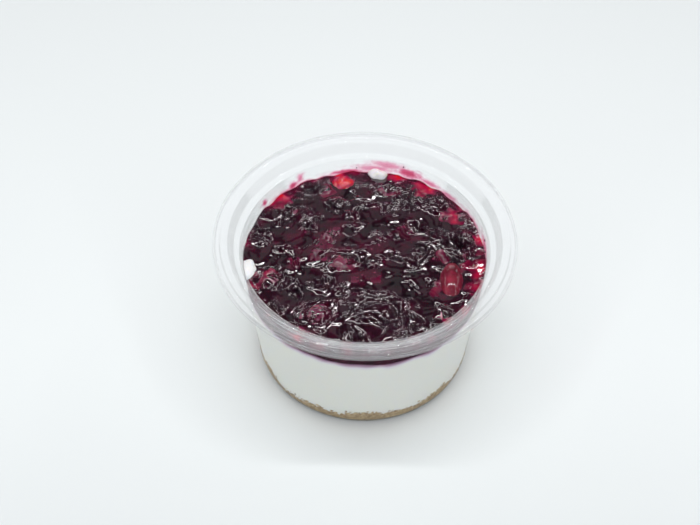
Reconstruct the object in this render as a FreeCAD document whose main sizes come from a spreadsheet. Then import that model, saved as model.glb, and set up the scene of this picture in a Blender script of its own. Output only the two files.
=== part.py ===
"""Layered berry cheesecake in a clear, wide-rimmed plastic cup.

Units are millimetres. +Z is up, and the origin is the centre of the foot, on
the surface that the cup stands on. The filling lies in layers: a crumb base,
cream cheese, and a dark compote with whole berries in its surface.
"""
import FreeCAD, Part
import math
import os

import Sketcher

# Driving dimensions: alias in the sheet, value, meaning. The cup's width hangs
# on the mouth: rim, lid seat, wall and foot are steps outwards or inwards from it.
SIZES = [
    ("cup_height", 53.8, "foot to crest of the rim bead"),
    ("mouth_radius", 42.4, "inner edge of the rim"),
    ("rim_width", 5.1, "mouth out to the outer face of the skirt"),
    ("seat_flare", 0.9, "lid seat's slope, inwards from mouth to ledge"),
    ("seat_step", 2.2, "ledge of the lid seat, inwards to the wall"),
    ("wall_lean", 4.1, "wall's slope, inwards from lid seat to foot plane"),
    ("foot_width", 7.7, "foot's ring and bend, inwards to the raised panel"),
    ("seat_depth", 4.9, "rim crest down to the underside of the lid seat's ledge"),
    ("skin", 0.6, "thickness of the formed sheet"),
    ("bead_width", 2.7, "rolled bead, inwards from the skirt"),
    ("bead_rise", 0.5, "bead crest above the flat of the rim"),
    ("skirt_drop", 2.4, "rim crest down to the edge of the skirt"),
    ("foot_bend", 4.5, "outer bend between foot and wall"),
    ("seat_bend", 0.5, "tight side of the bends at the lid seat"),
    ("rim_bend", 0.6, "tight side of the bend between rim and skirt"),
    ("panel_lift", 0.8, "panel above the foot plane"),
    ("headspace", 10.0, "rim crest down to the compote"),
    ("compote_depth", 7.6, "compote at the wall"),
    ("compote_relief", 1.1, "lumps in the compote, up and down"),
    ("cream_relief", 0.6, "waves in the cream's top, up and down"),
    ("peak_radius", 3.6, "cream's peaks, across at the cream's level"),
    ("peak_inset", 2.4, "cream's peaks, from the wall in to their middle"),
    ("peak_over_compote", 1.6, "cream's peaks above the compote's level"),
    ("crust_depth", 5.4, "crumb base above the cup's floor"),
    ("crust_relief", 0.9, "unevenness of the crumb base, up and down"),
]

# Sizes that follow from the driving ones: alias, formula over the sheet.
DERIVED = [
    ("rim_radius", "=mouth_radius + rim_width"),
    ("seat_radius", "=mouth_radius - seat_flare"),
    ("wall_top_radius", "=mouth_radius - seat_flare - seat_step"),
    ("foot_radius", "=mouth_radius - seat_flare - seat_step - wall_lean"),
    ("panel_radius", "=mouth_radius - seat_flare - seat_step - wall_lean - foot_width"),
    ("seat_level", "=cup_height - seat_depth"),
    ("rim_flat", "=cup_height - bead_rise"),
    ("bead_radius", "=rim_radius - bead_width"),
    ("taper", "=wall_lean / (cup_height - seat_depth)"),
    ("compote_level", "=cup_height - headspace"),
    ("cream_level", "=cup_height - headspace - compote_depth"),
    ("crust_level", "=skin + crust_depth"),
    ("fill_radius", "=foot_radius - skin + taper * (cup_height - headspace)"),
]

# Berries: how far out towards the wall (0 to 1), bearing in degrees from +X,
# half length, half width, half height, turn of the length from +X in degrees,
# and how much of the half height stands above the compote's level.
BERRIES = [
    (0.88, 340.0, 6.9, 3.5, 3.2, 86.0, 0.54),
    (0.95, 103.5, 3.3, 2.7, 2.4, 10.0, 0.52),
    (0.94, 116.0, 3.6, 3.1, 3.0, 150.0, 0.47),
    (0.77, 139.5, 5.0, 4.2, 3.9, 40.0, 0.42),
    (0.96, 169.5, 3.9, 3.5, 3.3, 80.0, 0.42),
    (0.94, 199.5, 5.2, 4.3, 3.8, 110.0, 0.44),
    (0.87, 239.0, 6.0, 4.5, 3.9, 5.0, 0.42),
    (0.75, 278.5, 7.2, 5.0, 4.2, 12.0, 0.46),
    (0.97, 292.0, 4.1, 3.5, 3.2, 160.0, 0.42),
    (0.95, 45.5, 5.2, 4.1, 3.7, 130.0, 0.44),
    (0.71, 19.5, 5.2, 4.5, 4.0, 20.0, 0.48),
    (0.98, 16.0, 3.6, 3.2, 3.0, 100.0, 0.46),
    (0.52, 104.0, 4.4, 3.8, 3.4, 170.0, 0.38),
    (0.28, 201.0, 5.4, 4.3, 3.8, 25.0, 0.40),
    (0.13, 319.0, 4.6, 4.0, 3.6, 60.0, 0.38),
    (0.81, 65.0, 3.9, 3.4, 3.2, 30.0, 0.46),
    (0.96, 317.5, 3.9, 3.4, 3.2, 45.0, 0.42),
]
BERRY_FIELDS = ("reach", "bearing", "length", "width", "height", "turn", "proud")

# Bearings in degrees at which the cream comes up through the compote.
CREAM_PEAKS = [83.0, 189.5]

# A surface is interpolated through a square grid of this many points a side.
GRID_POINTS = 29
GRID_MARGIN = 3.0

# Waves that make a surface uneven: wavelength, bearing, phase, share.
LUMPS = [
    (21.0, 15.0, 0.4, 0.34),
    (15.0, 74.0, 2.1, 0.28),
    (12.5, 128.0, 4.0, 0.22),
    (17.5, 163.0, 5.2, 0.16),
]
SWELLS = [
    (46.0, 30.0, 1.2, 0.45),
    (31.0, 100.0, 3.3, 0.30),
    (24.0, 152.0, 0.6, 0.25),
]

doc = FreeCAD.newDocument("cheesecake_cup")


def fill_sheet():
    """Write the driving dimensions, what follows from them, and the berries."""
    sheet = doc.addObject("Spreadsheet::Sheet", "Sizes")
    row = 1
    for alias, value, meaning in SIZES:
        sheet.set("A%d" % row, meaning)
        sheet.set("B%d" % row, str(value))
        sheet.setAlias("B%d" % row, alias)
        row += 1
    for alias, formula in DERIVED:
        sheet.set("A%d" % row, alias.replace("_", " "))
        sheet.set("B%d" % row, formula)
        sheet.setAlias("B%d" % row, alias)
        row += 1
    for number, berry in enumerate(BERRIES, 1):
        for field, value in zip(BERRY_FIELDS, berry):
            alias = "berry%02d_%s" % (number, field)
            sheet.set("A%d" % row, alias.replace("_", " "))
            sheet.set("B%d" % row, str(value))
            sheet.setAlias("B%d" % row, alias)
            row += 1
    doc.recompute()
    return sheet


sizes = fill_sheet()


def in_sheet(formula):
    """Turn a formula over bare aliases into one that other objects can read."""
    names = [alias for alias, *_ in SIZES + DERIVED]
    words = formula.replace("(", "( ").replace(")", " )").split()
    return " ".join("Sizes." + word if word in names else word for word in words)


def pin_vertex(sketch, line, axis, formula):
    """Fix one coordinate of a line's start: 0 puts it on the other axis."""
    if formula == "0":
        axis_line = -2 if axis == "X" else -1
        sketch.addConstraint(Sketcher.Constraint("PointOnObject", line, 1, axis_line))
        return
    kind = "Distance" + axis
    here = sketch.getPoint(line, 1)
    value = here.x if axis == "X" else here.y
    index = sketch.addConstraint(Sketcher.Constraint(kind, -1, 1, line, 1, value))
    name = "%s%d" % (axis.lower(), line)
    sketch.renameConstraint(index, name)
    sketch.setExpression("Constraints." + name, in_sheet(formula))


def lathe(body, outline):
    """Revolve a closed outline of (radius, height) formulas about Z."""
    plane = [o for o in body.Origin.OriginFeatures if o.Role == "XZ_Plane"][0]
    sketch = body.newObject("Sketcher::SketchObject", body.Name + "_outline")
    sketch.AttachmentSupport = (plane, [""])
    sketch.MapMode = "FlatFace"
    doc.recompute()
    points = []
    for radius, height in outline:
        x = float(sketch.evalExpression(in_sheet(radius)))
        z = float(sketch.evalExpression(in_sheet(height)))
        points.append(FreeCAD.Vector(x, z, 0))
    count = len(points)
    for i in range(count):
        sketch.addGeometry(Part.LineSegment(points[i], points[(i + 1) % count]), False)
    for i in range(count):
        sketch.addConstraint(Sketcher.Constraint("Coincident", i, 2, (i + 1) % count, 1))
    for i, (radius, height) in enumerate(outline):
        pin_vertex(sketch, i, "X", radius)
        pin_vertex(sketch, i, "Y", height)
    turned = body.newObject("PartDesign::Revolution", body.Name + "_turned")
    turned.Profile = sketch
    turned.ReferenceAxis = (sketch, ["V_Axis"])
    turned.Angle = 360.0
    doc.recompute()
    return turned


def round_rings(body, feature, name, radius_formula, corners):
    """Fillet the ring edges that lie at the given (radius, height) corners."""
    near = 1e-4
    wanted = []
    for radius, height in corners:
        x = float(feature.evalExpression(in_sheet(radius)))
        z = float(feature.evalExpression(in_sheet(height)))
        wanted.append((x, z))
    edges = []
    for number, edge in enumerate(feature.Shape.Edges, 1):
        if not isinstance(edge.Curve, Part.Circle):
            continue
        for x, z in wanted:
            if abs(edge.Curve.Radius - x) < near and abs(edge.Curve.Center.z - z) < near:
                edges.append("Edge%d" % number)
    if len(edges) != len(wanted):
        raise RuntimeError("%s found %d of %d ring edges" % (name, len(edges), len(wanted)))
    fillet = body.newObject("PartDesign::Fillet", name)
    fillet.Base = (feature, edges)
    fillet.setExpression("Radius", in_sheet(radius_formula))
    doc.recompute()
    return fillet


# Corners of the cup's section. The inner face lies one skin inside the outer.
OUTER_FOOT = ("foot_radius", "0")
OUTER_NECK = ("wall_top_radius", "seat_level")
OUTER_SEAT = ("seat_radius", "seat_level")
UNDER_MOUTH = ("mouth_radius + skin", "rim_flat - skin")
UNDER_RIM = ("rim_radius - skin", "cup_height - skin")
RIM_CREST = ("rim_radius", "cup_height")
MOUTH = ("mouth_radius", "rim_flat")
INNER_SEAT = ("seat_radius - skin", "seat_level + skin")
INNER_NECK = ("wall_top_radius - skin", "seat_level + skin")
INNER_FOOT = ("foot_radius - skin + taper * skin", "skin")
FLOOR = [
    INNER_FOOT,
    ("panel_radius + panel_lift", "skin"),
    ("panel_radius", "panel_lift + skin"),
    ("0", "panel_lift + skin"),
]


def build_cup():
    """The formed cup: foot panel, tapered wall, lid seat, beaded rim, skirt."""
    body = doc.addObject("PartDesign::Body", "cup")
    outline = [
        ("0", "panel_lift"),
        ("panel_radius", "panel_lift"),
        ("panel_radius + panel_lift", "0"),
        OUTER_FOOT,
        OUTER_NECK,
        OUTER_SEAT,
        UNDER_MOUTH,
        ("bead_radius + bead_rise", "rim_flat - skin"),
        ("bead_radius + bead_rise + bead_rise", "cup_height - skin"),
        UNDER_RIM,
        ("rim_radius - skin", "cup_height - skirt_drop"),
        ("rim_radius", "cup_height - skirt_drop"),
        RIM_CREST,
        ("bead_radius + bead_rise", "cup_height"),
        ("bead_radius", "rim_flat"),
        MOUTH,
        INNER_SEAT,
        INNER_NECK,
    ] + FLOOR
    feature = lathe(body, outline)
    feature = round_rings(body, feature, "foot_outside", "foot_bend", [OUTER_FOOT])
    feature = round_rings(body, feature, "foot_inside", "foot_bend - skin", [INNER_FOOT])
    feature = round_rings(body, feature, "seat_tight", "seat_bend", [OUTER_NECK, INNER_SEAT])
    feature = round_rings(
        body, feature, "seat_wide", "seat_bend + skin", [INNER_NECK, OUTER_SEAT])
    feature = round_rings(body, feature, "rim_inside", "rim_bend", [UNDER_RIM])
    feature = round_rings(body, feature, "rim_outside", "rim_bend + skin", [RIM_CREST])
    feature = round_rings(body, feature, "mouth_outside", "skin", [MOUTH])
    body.Label = "cup"
    return body


def build_cavity():
    """The space inside the cup up to the lid seat, with the cup's own bends."""
    body = doc.addObject("PartDesign::Body", "cavity")
    outline = FLOOR[::-1] + [
        ("wall_top_radius - skin", "seat_level"),
        ("0", "seat_level"),
    ]
    feature = lathe(body, outline)
    round_rings(body, feature, "cavity_foot", "foot_bend - skin", [INNER_FOOT])
    return body


def waves(x, y, table):
    """Sum of the waves in a table at a point, between about -1 and 1."""
    total = 0.0
    for wavelength, bearing, phase, share in table:
        turn = math.radians(bearing)
        along = x * math.cos(turn) + y * math.sin(turn)
        total += share * math.cos(2.0 * math.pi * along / wavelength + phase)
    return total


def crust_top(x, y):
    """Height of the crumb base."""
    return sizes.crust_level + sizes.crust_relief * waves(x, y, LUMPS)


def cream_top(x, y):
    """Height of the cream."""
    return sizes.cream_level + sizes.cream_relief * waves(x, y, SWELLS)


def compote_top(x, y):
    """Height of the lumpy compote."""
    return sizes.compote_level + sizes.compote_relief * waves(y, x, LUMPS)


def block_under(name, height):
    """A block whose top follows a height function, wider than the cup."""
    half = sizes.wall_top_radius + GRID_MARGIN
    step = 2.0 * half / (GRID_POINTS - 1)
    grid = []
    for i in range(GRID_POINTS):
        x = -half + i * step
        row = []
        for j in range(GRID_POINTS):
            y = -half + j * step
            row.append(FreeCAD.Vector(x, y, height(x, y)))
        grid.append(row)
    surface = Part.BSplineSurface()
    surface.interpolate(grid)
    block = doc.addObject("Part::Feature", name)
    block.Shape = surface.toShape().extrude(FreeCAD.Vector(0, 0, -2.0 * sizes.cup_height))
    return block


def build_peak(number, bearing):
    """One peak of cream: a tall half egg beside the wall."""
    peak = doc.addObject("Part::Ellipsoid", "cream_peak_%02d" % number)
    peak.setExpression("Radius1", "Sizes.compote_depth + Sizes.peak_over_compote")
    peak.setExpression("Radius2", "Sizes.peak_radius")
    peak.setExpression("Radius3", "Sizes.peak_radius")
    out = "(Sizes.fill_radius - Sizes.peak_inset)"
    peak.setExpression("Placement.Base.x", "%s * cos(%s)" % (out, bearing))
    peak.setExpression("Placement.Base.y", "%s * sin(%s)" % (out, bearing))
    peak.setExpression("Placement.Base.z", "Sizes.cream_level")
    return peak


def fused(name, items):
    """Several objects as one."""
    result = doc.addObject("Part::MultiFuse", name)
    result.Shapes = items
    doc.recompute()
    return result


def boolean(kind, name, base, tool):
    """A Part::Common or Part::Cut of two objects."""
    result = doc.addObject("Part::" + kind, name)
    result.Base = base
    result.Tool = tool
    doc.recompute()
    return result


def build_berry(number):
    """One berry: a long, slightly flat ball half sunk in the compote."""
    own = "Sizes.berry%02d_" % number
    ball = doc.addObject("Part::Ellipsoid", "ball_%02d" % number)
    ball.setExpression("Radius1", own + "height")
    ball.setExpression("Radius2", own + "length")
    ball.setExpression("Radius3", own + "width")
    out = "%sreach * (Sizes.fill_radius - %slength)" % (own, own)
    ball.setExpression("Placement.Base.x", "%s * cos(%sbearing)" % (out, own))
    ball.setExpression("Placement.Base.y", "%s * sin(%sbearing)" % (out, own))
    sunk = "(1 - %sproud) * %sheight" % (own, own)
    ball.setExpression("Placement.Base.z", "Sizes.compote_level - " + sunk)
    ball.setExpression("Placement.Rotation.Angle", own + "turn")
    return ball


def touching(one, other):
    """Whether two balls overlap, tested by the volume that they share."""
    if not one.Shape.BoundBox.intersect(other.Shape.BoundBox):
        return False
    least = 1e-6
    return one.Shape.common(other.Shape).Volume > least


def build_berries():
    """All berries. One that meets an earlier one is pressed flat against it."""
    balls = [build_berry(number) for number in range(1, len(BERRIES) + 1)]
    doc.recompute()
    berries = []
    for index, ball in enumerate(balls):
        result = ball
        for earlier in range(index):
            if touching(ball, balls[earlier]):
                name = "pressed_%02d_%02d" % (index + 1, earlier + 1)
                result = boolean("Cut", name, result, balls[earlier])
        result.Label = "berry_%02d" % (index + 1)
        berries.append(result)
    return balls, berries


cup = build_cup()
cavity = build_cavity()
under_crust = block_under("under_crust", crust_top)
under_cream = block_under("under_cream", cream_top)
under_compote = block_under("under_compote", compote_top)
balls, berries = build_berries()

peaks = [build_peak(number, bearing) for number, bearing in enumerate(CREAM_PEAKS, 1)]
peaked_cream = fused("peaked_cream", [under_cream] + peaks)
all_balls = fused("all_balls", balls)

crust = boolean("Common", "crust", cavity, under_crust)

cream_fill = boolean("Common", "cream_fill", cavity, peaked_cream)
cream_on_crust = boolean("Cut", "cream_on_crust", cream_fill, under_crust)
cream = boolean("Cut", "cream", cream_on_crust, all_balls)

compote_fill = boolean("Common", "compote_fill", cavity, under_compote)
compote_on_cream = boolean("Cut", "compote_on_cream", compote_fill, peaked_cream)
compote = boolean("Cut", "compote", compote_on_cream, all_balls)

nodes = [cup, crust, cream, compote] + berries

doc.recompute()
for item in doc.Objects:
    if "Invalid" in item.State or "Error" in item.State:
        raise RuntimeError(item.Label + " failed to recompute")
for node in nodes:
    shape = node.Shape
    if shape.isNull() or not shape.isValid():
        raise RuntimeError(node.Label + " has no valid shape")
    if len(shape.Solids) != 1:
        raise RuntimeError("%s has %d solids" % (node.Label, len(shape.Solids)))

os.makedirs("parts", exist_ok=True)
for node in nodes:
    node.Shape.exportStep("parts/%s.step" % node.Label)
    print("%-10s %10.2f mm3" % (node.Label, node.Shape.Volume))
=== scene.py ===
"""The looks of a layered berry cheesecake in a clear plastic cup.

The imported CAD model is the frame. The cup's height and the berries' places are
read from it, and the other sizes repeat those that it was built from. Sizes are
in millimetres, unless a comment says metres, and new_object makes them metres.
Bearings go round from +X towards +Y, so the front of the cup is at 270 degrees.
"""
import math

import bmesh
import bpy
import numpy as np
from mathutils import Matrix, Vector


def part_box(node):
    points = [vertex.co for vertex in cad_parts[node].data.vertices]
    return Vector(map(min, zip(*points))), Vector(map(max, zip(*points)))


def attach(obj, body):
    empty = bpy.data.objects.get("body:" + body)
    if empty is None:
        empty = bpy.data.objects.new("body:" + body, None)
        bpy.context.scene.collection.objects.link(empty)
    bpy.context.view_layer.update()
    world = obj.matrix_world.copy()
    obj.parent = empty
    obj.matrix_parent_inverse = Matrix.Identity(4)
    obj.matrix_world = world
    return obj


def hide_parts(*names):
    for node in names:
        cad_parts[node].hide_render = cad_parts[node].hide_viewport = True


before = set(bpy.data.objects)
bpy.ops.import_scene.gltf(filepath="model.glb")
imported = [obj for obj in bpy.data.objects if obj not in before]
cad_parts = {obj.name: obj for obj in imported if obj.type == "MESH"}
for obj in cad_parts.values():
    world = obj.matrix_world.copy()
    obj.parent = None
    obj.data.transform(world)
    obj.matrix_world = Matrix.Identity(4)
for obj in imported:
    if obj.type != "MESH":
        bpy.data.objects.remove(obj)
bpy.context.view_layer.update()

MM = 0.001


def box_mm(node):
    """A CAD node's lowest and highest corners, in millimetres."""
    low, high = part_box(node)
    return np.array(low) / MM, np.array(high) / MM


# ---- sizes, mm
CUP_HEIGHT = box_mm("cup")[1][2]
RIM_RADIUS = 47.5
MOUTH_RADIUS = 42.4
FOOT_RADIUS = 35.2
WALL_TOP_RADIUS = 39.3
SEAT_RADIUS = 41.5
SEAT_LEVEL = CUP_HEIGHT - 4.9
RIM_FLAT = CUP_HEIGHT - 0.5
SKIN = 0.6
HALF_SKIN = SKIN / 2
BEAD_RADIUS = RIM_RADIUS - 2.7
BEAD_RISE = 0.7
SKIRT_EDGE = CUP_HEIGHT - 2.4
PANEL_RADIUS = 27.5
PANEL_LIFT = 0.8

HEADSPACE = 10.0
COMPOTE_DEPTH = 7.6
COMPOTE_LEVEL = CUP_HEIGHT - HEADSPACE
CREAM_LEVEL = COMPOTE_LEVEL - COMPOTE_DEPTH


# ---- noise
# In a call of noise, what x and y are divided by is the wavelength, in mm or in
# degrees round the wall, and the last number is the seed.
LATTICE = 256
LATTICE_ORIGIN = (57.3, 91.7)
NOISE_GAIN = 1.5


def lattice(seed):
    """Unit gradients on a repeating square lattice."""
    angles = np.random.RandomState(seed).uniform(0, 2 * np.pi, (LATTICE, LATTICE))
    return np.cos(angles), np.sin(angles)


def noise(x, y, seed):
    """Smooth gradient noise of wavelength about 1, between about -1 and 1."""
    gx, gy = lattice(seed)
    x = np.asarray(x, float) + LATTICE_ORIGIN[0]
    y = np.asarray(y, float) + LATTICE_ORIGIN[1]
    ix, iy = np.floor(x).astype(int), np.floor(y).astype(int)
    fx, fy = x - ix, y - iy
    sx = fx ** 3 * (fx * (fx * 6 - 15) + 10)
    sy = fy ** 3 * (fy * (fy * 6 - 15) + 10)

    def corner(dx, dy):
        i, j = (ix + dx) % LATTICE, (iy + dy) % LATTICE
        return gx[i, j] * (fx - dx) + gy[i, j] * (fy - dy)

    low = corner(0, 0) * (1 - sx) + corner(1, 0) * sx
    high = corner(0, 1) * (1 - sx) + corner(1, 1) * sx
    return NOISE_GAIN * (low * (1 - sy) + high * sy)


def smoothstep(low, high, value):
    """0 under low, 1 over high, and smooth between."""
    t = np.clip((value - low) / (high - low), 0.0, 1.0)
    return t * t * (3 - 2 * t)


# ---- meshes
def in_scene(name, data):
    """A new object with its data, in the scene."""
    obj = bpy.data.objects.new(name, data)
    bpy.context.scene.collection.objects.link(obj)
    return obj


def new_object(name, verts, faces, material_):
    """A smooth mesh object from vertices in millimetres."""
    mesh = bpy.data.meshes.new(name)
    mesh.from_pydata((np.asarray(verts) * MM).tolist(), [], faces)
    mesh.validate()
    mesh.polygons.foreach_set("use_smooth", [True] * len(mesh.polygons))
    mesh.update()
    obj = in_scene(name, mesh)
    mesh.materials.append(material_)
    return obj


def paint(obj, name, values):
    """Store one number for each vertex, which the materials read."""
    store = obj.data.attributes.new(name, "FLOAT", "POINT")
    store.data.foreach_set("value", np.asarray(values, np.float32).ravel())


def coordinates(mesh):
    """A mesh's vertices, in millimetres."""
    flat = np.empty(len(mesh.vertices) * 3)
    mesh.vertices.foreach_get("co", flat)
    return flat.reshape(-1, 3) / MM


def polar(radius, bearing, height):
    """Points at a radius and a bearing in radians; all three may be arrays."""
    x, y = radius * np.cos(bearing), radius * np.sin(bearing)
    return np.stack([x, y, height + 0 * x], -1)


def turned(points, bearing):
    """Points turned about Z by a bearing in radians."""
    x, y, z = points.T
    c, s = math.cos(bearing), math.sin(bearing)
    return np.stack([x * c - y * s, x * s + y * c, z], 1)


def grid_faces(rows, columns, wrap, flip=False):
    """Quads of a grid whose vertices run along each row in turn."""
    faces = []
    last = columns if wrap else columns - 1
    for i in range(rows - 1):
        for j in range(last):
            k = (j + 1) % columns
            quad = (i * columns + j, i * columns + k, (i + 1) * columns + k, (i + 1) * columns + j)
            faces.append(quad[::-1] if flip else quad)
    return faces


def closed_faces(rows, columns, flip=False):
    """Faces of stacked rings between an end point that comes first and one that comes last."""
    faces = [(0, 1 + (j + 1) % columns, 1 + j) for j in range(columns)]
    faces += [tuple(v + 1 for v in quad) for quad in grid_faces(rows, columns, True, flip)]
    top = 1 + (rows - 1) * columns
    last = top + columns
    faces += [(last, top + j, top + (j + 1) % columns) for j in range(columns)]
    return faces


ARC_STEP = math.radians(9)


def rounded(points, bends):
    """A path with its inner corners turned into arcs of the given radii."""
    points = [np.array(point, float) for point in points]
    path = [points[0]]
    for before, here, after, bend in zip(points, points[1:], points[2:], bends):
        back, ahead = before - here, after - here
        back /= np.linalg.norm(back)
        ahead /= np.linalg.norm(ahead)
        turn = math.pi - math.acos(np.clip(back @ ahead, -1, 1))
        cut = bend * math.tan(turn / 2)
        middle = back + ahead
        middle /= np.linalg.norm(middle)
        centre = here + middle * bend / math.cos(turn / 2)
        start = here + back * cut - centre
        first = math.atan2(start[1], start[0])
        cross = back[0] * ahead[1] - back[1] * ahead[0]
        sign = 1 if cross < 0 else -1
        count = max(2, int(math.ceil(turn / ARC_STEP)))
        for k in range(count + 1):
            angle = first + sign * turn * k / count
            path.append(centre + bend * np.array([math.cos(angle), math.sin(angle)]))
    return np.array([*path, points[-1]])


def offset(path, distance):
    """A path moved sideways, to its left if the distance is positive."""
    run = np.gradient(path, axis=0)
    run /= np.linalg.norm(run, axis=1)[:, None]
    return path + distance * np.stack([-run[:, 1], run[:, 0]], 1)


LATHE_STEPS = 256


def lathe(name, loop, material_):
    """Turn a loop of (radius, height), from axis to axis, about Z."""
    angles = np.arange(LATHE_STEPS) * 2 * np.pi / LATHE_STEPS
    rings = [polar(radius, angles, height) for radius, height in loop[1:-1]]
    verts = np.vstack([[0, 0, loop[0][1]], *rings, [0, 0, loop[-1][1]]])
    return new_object(name, verts, closed_faces(len(rings), LATHE_STEPS, flip=True), material_)


# ---- materials
def material(name, **sockets):
    """A Principled material whose plain values are set on its sockets."""
    mat = bpy.data.materials.new(name)
    mat.use_nodes = True
    shader = mat.node_tree.nodes["Principled BSDF"]
    for socket, value in sockets.items():
        shader.inputs[socket.replace("_", " ")].default_value = value
    return mat, mat.node_tree, shader


def add(tree, kind, **values):
    """A shader node with some of its properties or inputs set."""
    node = tree.nodes.new("ShaderNode" + kind)
    for name, value in values.items():
        if hasattr(node, name):
            setattr(node, name, value)
        else:
            node.inputs[name.replace("_", " ")].default_value = value
    return node


def ramp(tree, source, stops, target=None):
    """A colour ramp over a value: stops are (place, colour).

    The colour goes to the target's Base Color, if a shader is given.
    """
    node = add(tree, "ValToRGB")
    while len(node.color_ramp.elements) < len(stops):
        node.color_ramp.elements.new(0.5)
    for element, (place, colour) in zip(node.color_ramp.elements, stops):
        element.position = place
        element.color = (*colour, 1.0)
    tree.links.new(source, node.inputs["Fac"])
    if target:
        tree.links.new(node.outputs["Color"], target.inputs["Base Color"])
    return node.outputs["Color"]


def object_noise(tree, scale, detail=3.0, roughness=0.55):
    """Noise in the piece's own coordinates; the scale is per metre."""
    place = add(tree, "TexCoord")
    node = add(tree, "TexNoise", Scale=scale, Detail=detail, Roughness=roughness)
    tree.links.new(place.outputs["Object"], node.inputs["Vector"])
    return node.outputs["Fac"]


def bump(tree, shader, height, strength, distance):
    """Fine relief on a shader's normal; the distance is in metres."""
    node = add(tree, "Bump", Strength=strength, Distance=distance)
    tree.links.new(height, node.inputs["Height"])
    tree.links.new(node.outputs["Normal"], shader.inputs["Normal"])


def painted(tree, name):
    """The number that paint stored under a name."""
    return add(tree, "Attribute", attribute_name=name).outputs["Fac"]


def along_axis(tree, axis):
    """One of the piece's own coordinates, in metres."""
    place = add(tree, "TexCoord")
    split = add(tree, "SeparateXYZ")
    tree.links.new(place.outputs["Object"], split.inputs["Vector"])
    return split.outputs[axis]


def ease(tree, value, low, high):
    """A smooth rise from 0 where the value is low to 1 where it is high."""
    node = add(tree, "MapRange", interpolation_type="SMOOTHSTEP", From_Min=low, From_Max=high)
    tree.links.new(value, node.inputs["Value"])
    return node.outputs["Result"]


def feed(tree, value, socket):
    """Give a socket its value: a number or another node's output."""
    if isinstance(value, float):
        socket.default_value = value
    else:
        tree.links.new(value, socket)


def compute(tree, operation, *values):
    """A sum of the shader tree; each value is a number or an output."""
    node = add(tree, "Math", operation=operation)
    for socket, value in zip(node.inputs, values):
        feed(tree, value, socket)
    return node.outputs["Value"]


def blend(tree, one, other, share):
    """Two shader nodes mixed, by the share of the other: a number or an output."""
    node = add(tree, "MixShader")
    feed(tree, share, node.inputs["Fac"])
    tree.links.new(one.outputs[0], node.inputs[1])
    tree.links.new(other.outputs[0], node.inputs[2])
    return node


def show(tree, shader):
    """Make a shader node the surface of its material."""
    tree.links.new(shader.outputs[0], tree.nodes["Material Output"].inputs["Surface"])


# Share of what is behind the thin sheet that shows through it unbent.
CLEARNESS = 0.72
# Share of each face of the rim that is matt white from forming and handling.
RIM_HAZE = 0.46


def clear_plastic():
    """Clear formed sheet. Lamps and soft light pass straight through it."""
    mat, tree, shader = material(
        "clear_plastic", Base_Color=(0.968, 0.965, 0.995, 1), Roughness=0.03,
        IOR=1.30, Transmission_Weight=1.0)
    tree.links.new(painted(tree, "clear"), shader.inputs["Transmission Weight"])
    through = add(tree, "BsdfTransparent", Color=(0.98, 0.985, 0.985, 1))
    path = add(tree, "LightPath").outputs
    soft = compute(tree, "MAXIMUM", path["Is Shadow Ray"], path["Is Diffuse Ray"])
    share = compute(tree, "MULTIPLY_ADD", soft, 1 - CLEARNESS, CLEARNESS)
    show(tree, blend(tree, shader, through, share))
    return mat


def cream_material(name="cream", pale=(0.81, 0.82, 0.775)):
    """Cream cheese: dense off-white, stained where compote lies on it."""
    mat, tree, shader = material(
        name, Roughness=0.45, Subsurface_Weight=0.6, Subsurface_Scale=0.002,
        Subsurface_Radius=(1.0, 0.85, 0.6), Specular_IOR_Level=0.35)
    ramp(tree, painted(tree, "stain"), [
        (0.0, pale),
        (0.30, (0.74, 0.71, 0.76)),
        (0.7, (0.45, 0.30, 0.42)),
        (1.0, (0.14, 0.03, 0.09))], shader)
    bump(tree, shader, object_noise(tree, 500), 0.08, 0.0004)
    return mat


# Places of the colour sockets on a Mix node, whose kinds share their names.
MIX_COLOUR_A, MIX_COLOUR_B, MIX_COLOUR_OUT = 6, 7, 2
# Height under which painted shade darkens the crumb towards the foot, for the shadow where the cup
# stands.
CRUMB_SHADE_TOP = 4.0


def crumb_material(name, light, dark):
    """Ground biscuit, mottled from crumb to crumb, with painted shade that darkens it at the foot.
    """
    mat, tree, shader = material(name, Roughness=0.8, Specular_IOR_Level=0.25)
    grain = object_noise(tree, 900, 4.0, 0.65)
    colour = ramp(tree, grain, [(0.34, dark), (0.62, light)])
    # Painted shade: the crumb's colour is multiplied darker below CRUMB_SHADE_TOP, for the shadow
    # at the cup's foot.
    low = ease(tree, along_axis(tree, "Z"), 0.0, CRUMB_SHADE_TOP * MM)
    shadow = ramp(tree, low, [(0.30, (0.05, 0.038, 0.026)), (1.0, (1, 1, 1))])
    shade = add(tree, "Mix", data_type="RGBA", blend_type="MULTIPLY")
    shade.inputs["Factor"].default_value = 1.0
    tree.links.new(colour, shade.inputs[MIX_COLOUR_A])
    tree.links.new(shadow, shade.inputs[MIX_COLOUR_B])
    tree.links.new(shade.outputs[MIX_COLOUR_OUT], shader.inputs["Base Color"])
    bump(tree, shader, grain, 0.5, 0.0004)
    return mat


# How much the compote's noise adds to how thin it lies.
MOTTLE = 0.42


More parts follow.
